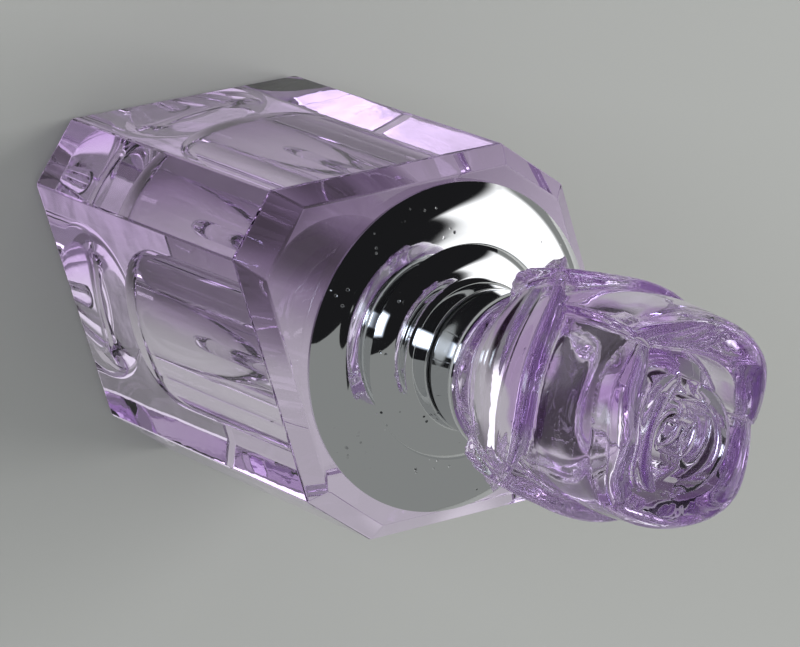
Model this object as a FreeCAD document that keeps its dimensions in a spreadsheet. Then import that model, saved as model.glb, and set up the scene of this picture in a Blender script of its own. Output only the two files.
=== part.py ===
import FreeCAD, Part
import math
import os
import Sketcher

# A small cut-glass perfume bottle with a plated screw collar and a rose stopper.
# It stands upright: +Z is its axis and the origin is the middle of its base.
# Heights of the collar, the neck and the stopper count from the bottle's end face.

doc = FreeCAD.newDocument("PerfumeBottle")

SIZES = [
    # Glass block: a lozenge section with cut corners.
    ("block_flats", 28.0, "across both pairs of flats"),
    ("block_skew", 16.0, "degrees by which the section leaves the square"),
    ("wide_corners", 30.0, "across the two cut blunt corners"),
    ("narrow_corners", 39.0, "across the two cut sharp corners"),
    ("shoulder_rise", 28.0, "base to the lower edge of the shoulder bevel"),
    ("shoulder_bevel", 1.2, "height of the shoulder bevel"),
    ("shoulder_inset", 1.4, "width of the shoulder bevel on the flats"),
    ("narrow_inset", 2.5, "width of the shoulder bevel on the sharp corners"),
    ("base_edge", 0.5, "ground edge round the base"),
    ("well_width", 13.8, "bore that holds the perfume"),
    ("well_floor", 2.1, "glass left under the bore"),
    ("well_round", 3.5, "round between the bore's wall and floor"),
    # Collar stack.
    ("gasket_thick", 0.4, "clear gasket under the flange"),
    ("gasket_edge", 0.7, "flange beyond the gasket, all round"),
    ("flange_wide", 24.8, "collar flange"),
    ("edge_rise", 0.7, "height of the flange's upright edge"),
    ("dome_rise", 2.0, "height of the flange inside its rounded edge"),
    ("dome_round", 2.0, "width of the flange's rounded edge"),
    ("step_wide", 16.6, "collar's step"),
    ("step_rise", 3.0, "height of the step"),
    ("step_round", 0.7, "width of the step's rounded edge"),
    ("step_side", 0.1, "upright side of the step"),
    ("root_wide", 11.8, "foot of the collar's neck"),
    ("neck_wide", 10.9, "collar neck"),
    ("neck_rise", 5.3, "height of the neck's mouth"),
    ("neck_skin", 0.5, "wall of the collar's neck"),
    # Threaded sleeve in the neck.
    ("sleeve_flange", 15.2, "flange of the sleeve"),
    ("sleeve_thick", 1.1, "thickness of that flange"),
    ("sleeve_depth", 6.0, "reach of the sleeve into the bore"),
    ("sleeve_lead", 0.6, "lead-in chamfer of the sleeve"),
    ("sleeve_drop", 0.2, "sleeve's mouth below the collar's mouth"),
    ("seat_gap", 0.05, "clearance of pieces that are cemented or pressed together"),
    ("ring_gap", 0.1, "clearance inside the gasket and the washer"),
    ("thread_gap", 0.25, "clearance of the screw thread"),
    ("lip_gap", 0.06, "play between the washer and its neighbours"),
    # Stopper.
    ("plug_wide", 8.0, "threaded plug"),
    ("plug_reach", 4.0, "reach of the plug below the end face"),
    ("plug_lead", 0.5, "lead-in chamfer of the plug"),
    ("plug_head", 9.2, "head of the plug"),
    ("head_thick", 2.0, "height of that head"),
    ("washer_thick", 0.5, "sealing washer"),
    ("washer_wide", 10.4, "washer's outside"),
    ("ferrule_wide", 10.9, "plain part of the ferrule"),
    ("ferrule_tall", 3.6, "height of the ferrule"),
    ("ferrule_web", 0.5, "web between the ferrule's two sockets"),
    ("ferrule_lip", 12.2, "flared upper edge of the ferrule"),
    ("lip_tall", 0.9, "height of that flare"),
    ("lip_skin", 0.7, "wall of the ferrule's upper edge"),
    ("metal_edge", 0.2, "softened edges of the plated pieces"),
    # Dip rod.
    ("rod_wide", 3.0, "glass dip rod"),
    ("rod_hold", 6.0, "length of the rod inside the plug"),
    ("rod_lift", 2.1, "rod's tip to the floor of the bore"),
    ("rod_edge", 0.3, "chamfer at the rod's upper end"),
    # Rose.
    ("rose_tall", 21.2, "ferrule to the tip of the rose"),
    ("rose_foot", 11.6, "foot of the rose on the ferrule"),
    ("heart_wide", 11.8, "solid heart behind the petals"),
    ("heart_swell", 6.4, "height where the heart is at its widest"),
    ("heart_drop", 5.9, "heart's shoulder below the rose's tip"),
    ("crown_drop", 3.4, "flat top of the heart below the rose's tip"),
    ("petal_foot", 0.6, "height of the petals' feet"),
    ("petal_waist", 10.4, "across the petals at their feet"),
    ("petal_belly", 0.7, "share of its height at which a petal is at its widest"),
    ("edge_share", 0.43, "height of a petal's rounded edge as a share of its thickness"),
    ("petal_tuck", 2.5, "reach of a petal's upright inner side below its edge"),
    ("tuck_drop", 0.5, "fall of a petal's inner side from there to its root"),
    ("arch_spare", 0.2, "arch of a petal's edge beyond its sides"),
    ("petal_lean", 0.6, "axis of the outer and middle petals off the rose's axis"),
    ("lean_turn", -118.0, "degrees from +X to the side they lean to"),
    ("outer_turn", -22.0, "degrees from +X to the middle of the first outer petal"),
    ("outer_span", 140.0, "degrees that an outer petal takes"),
    ("outer_wide", 17.0, "across the outer petals"),
    ("outer_thick", 1.5, "thickness of an outer petal"),
    ("outer_curl", 0.3, "outward curl of its edge"),
    ("outer_rise", 11.6, "height of the outer petals' edges"),
    ("outer_side", 5.0, "height of those edges at the petals' sides"),
    ("middle_span", 131.0, "degrees that a middle petal takes"),
    ("middle_rise", 19.6, "height of the middle petals' edges"),
    ("middle_side", 17.0, "height of those edges at the petals' sides"),
    ("front_turn", -10.0, "degrees from +X to the middle of the front petal"),
    ("front_wide", 15.2, "twice the front petal's reach"),
    ("front_thick", 4.0, "thickness of the front petal"),
    ("left_turn", -130.0, "degrees from +X to the middle of the left petal"),
    ("left_wide", 16.6, "twice the left petal's reach"),
    ("left_thick", 3.0, "thickness of the left petal"),
    ("right_turn", 110.0, "degrees from +X to the middle of the right petal"),
    ("right_wide", 15.2, "twice the right petal's reach"),
    ("right_thick", 2.8, "thickness of the right petal"),
    ("inner_turn", -18.0, "degrees from +X to the middle of the near inner petal"),
    ("inner_span", 149.0, "degrees that an inner petal takes"),
    ("inner_wide", 8.6, "twice an inner petal's reach"),
    ("inner_thick", 1.1, "thickness of an inner petal"),
    ("inner_rise", 20.4, "height of the inner petals' edges"),
    ("inner_side", 19.2, "height of those edges at the petals' sides"),
    ("far_shift", 1.0, "far inner petal's axis off the rose's axis"),
    ("bud_turn", 52.0, "degrees from +X to the bud's long axis"),
    ("bud_long", 5.8, "length of the closed bud"),
    ("bud_wide", 3.0, "width of the closed bud"),
    ("bud_tall", 7.0, "height of the closed bud"),
    ("bud_round", 1.2, "rounding of the bud's top"),
    ("bud_shift", 0.6, "bud's axis off the rose's axis"),
    ("bud_aside", -31.0, "degrees from +X to the side it is off to"),
    ("fold_inset", 0.8, "folds of the bud from its sides"),
    ("fold_span", 90.0, "degrees that a fold takes"),
    ("fold_wide", 0.45, "width of those folds"),
    ("fold_deep", 1.2, "depth of those folds"),
]

sheet = doc.addObject("Spreadsheet::Sheet", "Sizes")
for row, (alias, value, note) in enumerate(SIZES, start=1):
    sheet.set(f"A{row}", note)
    sheet.set(f"B{row}", str(value))
    sheet.setAlias(f"B{row}", alias)
doc.recompute()


class Size:
    """A number together with the expression that yields it from the sheet."""

    def __init__(self, text, value):
        self.text = text
        self.value = value

    def _with(self, sign, other, value):
        return Size(f"({self.text} {sign} {plain(other).text})", value)

    def __add__(self, other):
        return self._with("+", other, self.value + plain(other).value)

    def __sub__(self, other):
        return self._with("-", other, self.value - plain(other).value)

    def __mul__(self, other):
        return self._with("*", other, self.value * plain(other).value)

    def __truediv__(self, other):
        return self._with("/", other, self.value / plain(other).value)

    def __neg__(self):
        return Size(f"(0 - {self.text})", -self.value)


def plain(number):
    """A Size from a bare number, and a Size as it is."""
    if isinstance(number, Size):
        return number
    return Size(repr(float(number)), float(number))


def size(alias):
    """The Size of one cell of the sheet."""
    return Size(f"Sizes.{alias}", float(sheet.get(alias)))


def bind(thing, path, value):
    thing.setExpression(path, plain(value).text)


# ---------------------------------------------------------------- sketches and features

def new_body(name, lift=None):
    """A body named as its node, raised to its place."""
    body = doc.addObject("PartDesign::Body", name)
    body.Label = name
    if lift is not None:
        bind(body, "Placement.Base.z", lift)
    return body


def new_sketch(body, name, role):
    """A sketch on one of the body's own origin planes."""
    planes = [item for item in body.Origin.OriginFeatures if item.Role == role]
    sketch = body.newObject("Sketcher::SketchObject", name)
    sketch.AttachmentSupport = [(planes[0], "")]
    sketch.MapMode = "FlatFace"
    return sketch


def drive(sketch, constraint, label, value):
    """Adds a dimension and binds it to the sheet."""
    index = sketch.addConstraint(constraint)
    sketch.renameConstraint(index, label)
    bind(sketch, f"Constraints.{label}", value)


def arc_through(start, end, bulge):
    """A circular arc that stands out by bulge to the left of start-end."""
    middle = (start + end) * 0.5
    along = end - start
    side = FreeCAD.Vector(-along.y, along.x, 0).normalize()
    return Part.Arc(start, middle + side * bulge, end)


def outline(sketch, corners):
    """A closed outline: each corner is (across, up) or (across, up, bulge to the next)."""
    spots = [FreeCAD.Vector(plain(c[0]).value, plain(c[1]).value, 0) for c in corners]
    count = len(corners)
    ends = []
    for number, corner in enumerate(corners):
        start = spots[number]
        end = spots[(number + 1) % count]
        if len(corner) < 3:
            sketch.addGeometry(Part.LineSegment(start, end))
            ends.append((1, 2))
            continue
        bulge = plain(corner[2]).value
        sketch.addGeometry(arc_through(start, end, bulge))
        # Sketch arcs always run anticlockwise, so one that bulges left is stored backwards.
        ends.append((2, 1) if bulge > 0 else (1, 2))
    for number in range(count):
        following = (number + 1) % count
        sketch.addConstraint(Sketcher.Constraint(
            "Coincident", number, ends[number][1], following, ends[following][0]))
    for number, corner in enumerate(corners):
        for kind, place in (("X", corner[0]), ("Y", corner[1])):
            hold(sketch, number, ends[number][0], kind, plain(place))
    for number, corner in enumerate(corners):
        if len(corner) > 2:
            following = corners[(number + 1) % count]
            radius = arc_radius(corner, following, plain(corner[2]))
            rule = Sketcher.Constraint("Radius", number, radius.value)
            drive(sketch, rule, f"round{number}", radius)


def hold(sketch, edge, end, kind, place):
    """Fixes one coordinate of an edge's end point."""
    label = f"edge{edge}{kind}"
    if place.value == 0.0:
        axis = -2 if kind == "X" else -1
        sketch.addConstraint(Sketcher.Constraint("PointOnObject", edge, end, axis))
    elif place.value < 0.0:
        rule = Sketcher.Constraint(f"Distance{kind}", edge, end, -1, 1, -place.value)
        drive(sketch, rule, label, -place)
    else:
        rule = Sketcher.Constraint(f"Distance{kind}", -1, 1, edge, end, place.value)
        drive(sketch, rule, label, place)


def arc_radius(corner, following, bulge):
    """Radius of the arc with this chord and bulge."""
    across = plain(following[0]) - corner[0]
    up = plain(following[1]) - corner[1]
    bulge = bulge if bulge.value > 0 else -bulge
    return (across * across + up * up) / (bulge * 8) + bulge / 2


def rounded(across, up, wide, tall, first, last, steps=2):
    """Corners along an elliptic round: its centre, its two half widths and its angles in degrees."""
    corners = []
    for step in range(steps + 1):
        angle = math.radians(first + (last - first) * step / steps)
        corner = (across + wide * round(math.cos(angle), 9), up + tall * round(math.sin(angle), 9))
        corners.append(corner)
    return corners


def turn(body, name, corners, kind="PartDesign::Revolution"):
    """Turns a half outline about the body's Z axis, to add or to cut."""
    sketch = new_sketch(body, f"{name}Profile", "XZ_Plane")
    outline(sketch, corners)
    feature = body.newObject(kind, name)
    feature.Profile = sketch
    feature.ReferenceAxis = (sketch, ["V_Axis"])
    feature.Angle = 360
    body.Tip = feature
    return feature


# ---------------------------------------------------------------- glass block

skew = size("block_skew")
flat = size("block_flats") / 2
wide = size("wide_corners") / 2
narrow = size("narrow_corners") / 2
shoulder = size("shoulder_rise")
end_face = shoulder + size("shoulder_bevel")
well = size("well_width") / 2


def lozenge(body, name, height, inset, narrow_inset):
    """The block's section: a lozenge with its four corners cut, at one height."""
    sketch = new_sketch(body, name, "XY_Plane")
    bind(sketch, "AttachmentOffset.Base.z", height)
    faces = [
        (skew, flat - inset),
        (skew / 2 + 45, wide - inset),
        (plain(90), flat - inset),
        (skew / 2 + 135, narrow - narrow_inset),
    ]
    faces += [(angle + 180, reach) for angle, reach in faces]
    normals = [math.radians(angle.value) for angle, reach in faces]
    reaches = [reach.value for angle, reach in faces]
    corners = []
    for here in range(8):
        there = (here + 1) % 8
        spread = math.sin(normals[there] - normals[here])
        x = (reaches[here] * math.sin(normals[there]) - reaches[there] * math.sin(normals[here])) / spread
        y = (reaches[there] * math.cos(normals[here]) - reaches[here] * math.cos(normals[there])) / spread
        corners.append(FreeCAD.Vector(x, y, 0))
    for here in range(8):
        sketch.addGeometry(Part.LineSegment(corners[here - 1], corners[here]))
    for here in range(8):
        sketch.addConstraint(Sketcher.Constraint("Coincident", here, 2, (here + 1) % 8, 1))
    for here in range(8):
        angle, reach = faces[here]
        rule = Sketcher.Constraint("Distance", -1, 1, here, reach.value)
        drive(sketch, rule, f"reach{here}", reach)
        if here >= 4:
            sketch.addConstraint(Sketcher.Constraint("Parallel", here - 4, here))
        elif here == 2:
            sketch.addConstraint(Sketcher.Constraint("Horizontal", here))
        else:
            rule = Sketcher.Constraint("Angle", here, math.radians(angle.value + 90))
            drive(sketch, rule, f"slope{here}", (angle + 90) * Size("1 deg", 1.0))
    return sketch


def make_bottle():
    """Octagonal glass block with a ground base edge, a shoulder bevel and a round-floored bore."""
    body = new_body("glass_bottle")
    edge = size("base_edge")
    sections = [
        lozenge(body, "BaseOutline", plain(0), edge, edge),
        lozenge(body, "FootOutline", edge, plain(0), plain(0)),
        lozenge(body, "ShoulderOutline", shoulder, plain(0), plain(0)),
        lozenge(body, "EndOutline", end_face, size("shoulder_inset"), size("narrow_inset")),
    ]
    block = body.newObject("PartDesign::AdditiveLoft", "Block")
    block.Profile = sections[0]
    block.Sections = sections[1:]
    block.Ruled = True
    floor = size("well_floor")
    bend = size("well_round")
    past = end_face + 1
    turn(body, "Well", [
        (0, floor),
        *rounded(well - bend, floor + bend, bend, bend, -90, 0, 3),
        (well, past),
        (0, past),
    ], "PartDesign::Groove")
    return body


# ---------------------------------------------------------------- collar stack

seat_gap = size("seat_gap")
gasket = size("gasket_thick")
flange = size("flange_wide") / 2
neck = size("neck_wide") / 2
neck_rise = size("neck_rise")
sleeve_flange = size("sleeve_flange") / 2
sleeve_thick = size("sleeve_thick")
sleeve_tube = neck - size("neck_skin") - seat_gap
plug = size("plug_wide") / 2
thread_bore = plug + size("thread_gap")


def make_gasket():
    """Flat clear ring between the glass and the collar."""
    body = new_body("collar_gasket", end_face)
    inner = sleeve_flange + size("ring_gap")
    outer = flange - size("gasket_edge")
    turn(body, "Ring", [(inner, 0), (outer, 0), (outer, gasket), (inner, gasket)])
    return body


def make_sleeve():
    """Threaded plastic sleeve pressed into the bore; its flange is held under the collar."""
    body = new_body("neck_sleeve", end_face)
    spigot = well - seat_gap
    depth = -size("sleeve_depth")
    lead = size("sleeve_lead")
    top = neck_rise - size("sleeve_drop")
    turn(body, "Turned", [
        (thread_bore, depth),
        (spigot - lead, depth),
        (spigot, depth + lead),
        (spigot, 0),
        (sleeve_flange, 0),
        (sleeve_flange, sleeve_thick),
        (sleeve_tube, sleeve_thick),
        (sleeve_tube, top),
        (thread_bore, top),
    ])
    return body


def make_collar():
    """Plated collar: a domed flange, a domed step on it, and a short neck."""
    body = new_body("collar", end_face)
    edge_rise = size("edge_rise")
    dome_round = size("dome_round")
    dome_rise = size("dome_rise")
    step = size("step_wide") / 2
    step_side = dome_rise + size("step_side")
    step_round = size("step_round")
    step_rise = size("step_rise")
    root = size("root_wide") / 2
    edge = size("metal_edge")
    hollow = sleeve_thick + seat_gap
    inner = sleeve_tube + seat_gap
    turn(body, "Shell", [
        (sleeve_flange + seat_gap, gasket),
        (flange, gasket),
        *rounded(flange - dome_round, edge_rise, dome_round, dome_rise - edge_rise, 0, 90),
        (step, dome_rise),
        *rounded(step - step_round, step_side, step_round, step_rise - step_side, 0, 90),
        (root, step_rise),
        (neck, step_rise + (root - neck)),
        (neck, neck_rise - edge),
        (neck - edge, neck_rise),
        (inner, neck_rise),
        (inner, hollow),
        (sleeve_flange + seat_gap, hollow),
    ])
    return body


# ---------------------------------------------------------------- stopper

lip_gap = size("lip_gap")
washer_foot = neck_rise + lip_gap
ferrule_foot = washer_foot + size("washer_thick") + lip_gap
ferrule = size("ferrule_wide") / 2
ferrule_top = ferrule_foot + size("ferrule_tall")
head = size("plug_head") / 2
head_thick = size("head_thick")
rod = size("rod_wide") / 2
rod_top = size("rod_hold") - size("plug_reach")
socket_floor = ferrule_foot + head_thick + seat_gap + size("ferrule_web")
foot = size("rose_foot") / 2
spigot_wall = size("ferrule_lip") / 2 - size("lip_skin")


def make_washer():
    """Soft sealing washer between the collar's mouth and the ferrule."""
    body = new_body("sealing_washer", end_face + washer_foot)
    inner = plug + size("ring_gap")
    outer = size("washer_wide") / 2
    thick = size("washer_thick")
    turn(body, "Ring", [(inner, 0), (outer, 0), (outer, thick), (inner, thick)])
    return body


def make_plug():
    """Threaded plastic plug: its head is cemented in the ferrule and its socket holds the rod."""
    body = new_body("screw_plug", end_face)
    low = -size("plug_reach")
    socket = rod + seat_gap
    lead = size("plug_lead")
    turn(body, "Turned", [
        (socket, low),
        (plug - lead, low),
        (plug, low + lead),
        (plug, ferrule_foot),
        (head, ferrule_foot),
        (head, ferrule_foot + head_thick),
        (0, ferrule_foot + head_thick),
        (0, rod_top + seat_gap),
        (socket, rod_top + seat_gap),
    ])
    return body


def make_ferrule():
    """Plated ferrule: a plain barrel below, a bead, and a flared edge that cups the rose."""
    body = new_body("stopper_ferrule", end_face)
    lip = size("ferrule_lip") / 2
    edge = size("metal_edge")
    flare = ferrule_top - size("lip_tall")
    pocket = head + seat_gap
    ceiling = ferrule_foot + head_thick + seat_gap
    turn(body, "Shell", [
        (pocket, ferrule_foot),
        (ferrule - edge, ferrule_foot),
        (ferrule, ferrule_foot + edge),
        (ferrule, flare),
        (lip - edge, flare + (lip - ferrule) / 2),
        (lip, flare + (lip - ferrule)),
        (lip, ferrule_top),
        (spigot_wall, ferrule_top),
        (spigot_wall, socket_floor),
        (0, socket_floor),
        (0, ceiling),
        (pocket, ceiling),
    ])
    return body


def make_rod():
    """Solid glass dip rod with a rounded tip just above the floor of the bore."""
    low = size("well_floor") + size("rod_lift")
    body = new_body("dip_rod", low)
    top = end_face + rod_top - low
    edge = size("rod_edge")
    turn(body, "Turned", [
        *rounded(plain(0), rod, rod, rod, -90, 0),
        (rod, top - edge),
        (rod - edge, top),
        (0, top),
    ])
    return body


# ---------------------------------------------------------------- rose

rose_tall = size("rose_tall")
rose_base = end_face + ferrule_top
heart = size("heart_wide") / 2
root = heart / 3


def loose_sketch(name, turned):
    """A sketch of the rose, stood up in one of its own planes."""
    sketch = doc.addObject("Sketcher::SketchObject", name)
    sketch.Placement = FreeCAD.Placement(FreeCAD.Vector(), turned)
    return sketch


UPRIGHT = FreeCAD.Rotation(FreeCAD.Vector(1, 0, 0), 90)
SIDEWAYS = FreeCAD.Rotation(FreeCAD.Vector(0, 0, 1), 90) * UPRIGHT


def swing(name, corners, span=360):
    """Turns a half outline about Z through span degrees, even about the XZ plane."""
    profile = loose_sketch(f"{name}Profile", UPRIGHT)
    outline(profile, corners)
    swung = doc.addObject("Part::Revolution", name)
    swung.Source = profile
    swung.Axis = FreeCAD.Vector(0, 0, 1)
    swung.Symmetric = True
    bind(swung, "Angle", span)
    swung.Solid = True
    return swung


def aside(reach, azimuth):
    """The two coordinates of the spot at that reach from the rose's axis."""
    angle = math.radians(azimuth.value)
    across = Size(f"({reach.text} * cos({azimuth.text} * 1 deg))", reach.value * math.cos(angle))
    along = Size(f"({reach.text} * sin({azimuth.text} * 1 deg))", reach.value * math.sin(angle))
    return across, along


def place(thing, azimuth, spot):
    """Turns a shape about its own axis and stands that axis on a spot."""
    thing.Placement.Rotation = FreeCAD.Rotation(FreeCAD.Vector(0, 0, 1), 0)
    bind(thing, "Placement.Rotation.Angle", azimuth)
    bind(thing, "Placement.Base.x", spot[0])
    bind(thing, "Placement.Base.y", spot[1])


def flank(inside, outside, low, high, steps=2):
    """Corners of a petal's outer side, which flares from its foot and ends upright."""
    corners = []
    for step in range(steps + 1):
        share = step / steps
        flare = round(math.sin(math.pi / 2 * share), 9)
        corners.append((inside + (outside - inside) * flare, low + (high - low) * share))
    return corners


def make_wall(name, side, span, lip, thick, rise, side_rise):
    """A petal: its side's corners, a rounded edge, and an arch that lowers the edge at both sides."""
    edge = thick * size("edge_share")
    inner = rise - thick - size("petal_tuck")
    wall = swing(f"{name}Wall", [
        (root, side[0][1]),
        *side,
        *rounded(lip - thick / 2, rise - edge, thick / 2, edge, 0, 180, 3),
        (lip - thick, inner),
        (root, inner - size("tuck_drop")),
    ], span)
    half = lip * math.sin(math.radians(span.value / 2)) + size("arch_spare")
    arch = loose_sketch(f"{name}ArchProfile", SIDEWAYS)
    outline(arch, [
        (-half, 0),
        (half, 0),
        (half, side_rise, -(rise - side_rise)),
        (-half, side_rise),
    ])
    block = doc.addObject("Part::Extrusion", f"{name}Arch")
    block.Base = arch
    block.Dir = FreeCAD.Vector(1, 0, 0)
    bind(block, "LengthFwd", lip * 2)
    bind(block, "LengthRev", lip * 2)
    block.Solid = True
    shaped = doc.addObject("Part::Common", name)
    shaped.Base = wall
    shaped.Tool = block
    return shaped


def make_petal(name, azimuth, span, reach, curl, thick, rise, side_rise):
    """A cupped petal of the outer or the middle ring."""
    low = size("petal_foot")
    side = flank(size("petal_waist") / 2, reach, low, low + (rise - low) * size("petal_belly"))
    petal = make_wall(name, side, span, reach + curl, thick, rise, side_rise)
    place(petal, azimuth, aside(size("petal_lean"), size("lean_turn")))
    return petal


def make_inner(name, azimuth, shift):
    """A thin upright petal round the bud, rooted where the heart is at its widest."""
    reach = size("inner_wide") / 2
    side = [(reach, size("heart_swell"))]
    petal = make_wall(name, side, size("inner_span"), reach, size("inner_thick"),
                      size("inner_rise"), size("inner_side"))
    place(petal, azimuth, aside(shift, azimuth))
    return petal


def make_heart():
    """The solid middle of the rose, with the spigot that is cemented in the ferrule."""
    sunk = socket_floor + seat_gap - ferrule_top
    spigot = spigot_wall - seat_gap
    shoulder_up = rose_tall - size("heart_drop")
    crown = size("heart_drop") - size("crown_drop")
    return swing("Heart", [
        (0, sunk),
        (spigot, sunk),
        (spigot, 0),
        (foot, 0),
        (heart, size("heart_swell")),
        *rounded(heart - crown, shoulder_up, crown, crown, 0, 90, 1),
        (0, shoulder_up + crown),
    ])


def make_bud():
    """The closed bud, pointed at both ends, and the two folds that are cut into its top."""
    long = size("bud_long") / 2
    wide = size("bud_wide") / 2
    curve = (long * long + wide * wide) / (wide * 2)
    edge = size("bud_round")
    turned = size("bud_turn")
    middle = aside(size("bud_shift"), size("bud_aside"))
    width = size("fold_wide") / 2
    reach = curve - size("fold_inset")
    floor = rose_tall - size("fold_deep")
    past = rose_tall + size("fold_deep")
    sides = []
    folds = []
    for number, facing in enumerate((turned + 90, turned - 90)):
        off = aside(wide - curve, facing)
        spot = (middle[0] + off[0], middle[1] + off[1])
        side = swing(f"BudSide{number}", [
            (0, rose_tall - size("bud_tall")),
            (curve, rose_tall - size("bud_tall")),
            *rounded(curve - edge, rose_tall - edge, edge, edge, 0, 90, 1),
            (0, rose_tall),
        ])
        place(side, facing, spot)
        sides.append(side)
        fold = swing(f"BudFold{number}", [
            (reach - width, floor),
            (reach, floor),
            (reach + width, past),
            (reach - width * 2, past),
        ], size("fold_span"))
        place(fold, facing, spot)
        folds.append(fold)
    closed = doc.addObject("Part::Common", "Bud")
    closed.Base, closed.Tool = sides
    return closed, folds


def make_rose():
    """Moulded glass rose: a heart, two rings of arched petals, two inner petals and a folded bud."""
    none = plain(0)
    solids = [make_heart()]
    for number in range(3):
        solids.append(make_petal(
            f"OuterPetal{number}", size("outer_turn") + 120 * number, size("outer_span"),
            size("outer_wide") / 2, size("outer_curl"), size("outer_thick"),
            size("outer_rise"), size("outer_side")))
    for side in ("front", "left", "right"):
        solids.append(make_petal(
            f"{side.title()}Petal", size(f"{side}_turn"), size("middle_span"),
            size(f"{side}_wide") / 2, none, size(f"{side}_thick"),
            size("middle_rise"), size("middle_side")))
    solids.append(make_inner("NearInnerPetal", size("inner_turn"), none))
    solids.append(make_inner("FarInnerPetal", size("inner_turn") + 180, -size("far_shift")))
    closed, folds = make_bud()
    solids.append(closed)
    whole = doc.addObject("Part::MultiFuse", "RoseMass")
    whole.Shapes = solids
    creases = doc.addObject("Part::MultiFuse", "RoseFolds")
    creases.Shapes = folds
    rose = doc.addObject("Part::Cut", "rose_finial")
    rose.Label = "rose_finial"
    rose.Base = whole
    rose.Tool = creases
    bind(rose, "Placement.Base.z", rose_base)
    return rose


PIECES = [
    make_bottle(),
    make_gasket(),
    make_sleeve(),
    make_collar(),
    make_washer(),
    make_plug(),
    make_ferrule(),
    make_rod(),
    make_rose(),
]


# ---------------------------------------------------------------- checks and output

doc.recompute()
for thing in doc.Objects:
    if "Invalid" in thing.State or "Error" in thing.State:
        raise RuntimeError(f"{thing.Name} failed: {thing.State}")
for piece in PIECES:
    if piece.Shape.isNull() or not piece.Shape.isValid() or piece.Shape.Volume <= 0:
        raise RuntimeError(f"{piece.Label} has no sound shape")

os.makedirs("parts", exist_ok=True)
for piece in PIECES:
    piece.Shape.exportStep(f"parts/{piece.Label}.step")
    solids = len(piece.Shape.Solids)
    box = piece.Shape.BoundBox
    print(f"{piece.Label}: {solids} solid, {piece.Shape.Volume:.1f} mm3, z {box.ZMin:.2f} to {box.ZMax:.2f}")
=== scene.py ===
import math

import bmesh
import bpy
from bpy.props import FloatProperty, FloatVectorProperty, PointerProperty
from mathutils import Matrix, Vector


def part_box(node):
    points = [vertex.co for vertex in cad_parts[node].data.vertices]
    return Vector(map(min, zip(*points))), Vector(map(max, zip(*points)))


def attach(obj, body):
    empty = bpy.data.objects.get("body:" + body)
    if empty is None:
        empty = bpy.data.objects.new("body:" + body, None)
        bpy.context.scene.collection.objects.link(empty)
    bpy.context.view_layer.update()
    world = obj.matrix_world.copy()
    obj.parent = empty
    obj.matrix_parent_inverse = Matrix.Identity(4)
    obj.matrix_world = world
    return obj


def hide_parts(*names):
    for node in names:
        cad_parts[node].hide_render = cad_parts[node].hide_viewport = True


bl_info = {
    "name": "Rose Perfume Bottle",
    "version": (1, 0, 0),
    "blender": (4, 5, 0),
    "location": "3D View > Sidebar > Bottle",
    "description": "Builds a cut-glass perfume bottle with a plated collar and a moulded glass rose",
    "category": "Object",
}

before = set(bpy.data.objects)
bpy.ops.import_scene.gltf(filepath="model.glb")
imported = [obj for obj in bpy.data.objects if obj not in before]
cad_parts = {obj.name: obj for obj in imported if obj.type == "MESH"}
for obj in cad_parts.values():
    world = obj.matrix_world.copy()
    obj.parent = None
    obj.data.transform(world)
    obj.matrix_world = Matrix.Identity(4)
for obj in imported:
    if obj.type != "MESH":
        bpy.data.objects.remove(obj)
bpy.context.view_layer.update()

MM = 0.001
TURN = 2 * math.pi


def height(node, end):
    """Lowest (end 0) or highest (end 1) point of a CAD node, in millimetres."""
    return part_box(node)[end].z / MM


def radius(node):
    """Outer radius of a round CAD node, in millimetres."""
    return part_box(node)[1].x / MM


BASE = height("glass_bottle", 0)
END_FACE = height("glass_bottle", 1)
HALF_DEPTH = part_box("glass_bottle")[1].y / MM
FLANGE = radius("collar")
COLLAR_FOOT = height("collar", 0)
MOUTH = height("collar", 1)
WASHER_FOOT = height("sealing_washer", 0)
WASHER_TOP = height("sealing_washer", 1)
FERRULE_FOOT = height("stopper_ferrule", 0)
FERRULE_TOP = height("stopper_ferrule", 1)
ROD_TIP = height("dip_rod", 0)
ROD_TOP = height("dip_rod", 1)
ROSE_FOOT = height("rose_finial", 0)
ROSE_TOP = height("rose_finial", 1)
NECK = 5.45
ROD = 1.5
THREAD = {"pitch": 1.6, "depth": 0.26}
QUARTER_BULGE = 0.29289


# ---------------------------------------------------------------- node helpers

class Number:
    """A value in a node tree: arithmetic on it adds Math nodes."""

    def __init__(self, maker, socket):
        self.maker = maker
        self.socket = socket

    def __add__(self, other):
        return self.maker.math("ADD", self, other)

    def __sub__(self, other):
        return self.maker.math("SUBTRACT", self, other)

    def __mul__(self, other):
        return self.maker.math("MULTIPLY", self, other)

    def __truediv__(self, other):
        return self.maker.math("DIVIDE", self, other)

    def __rsub__(self, other):
        return self.maker.math("SUBTRACT", other, self)

    __radd__ = __add__
    __rmul__ = __mul__


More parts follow.
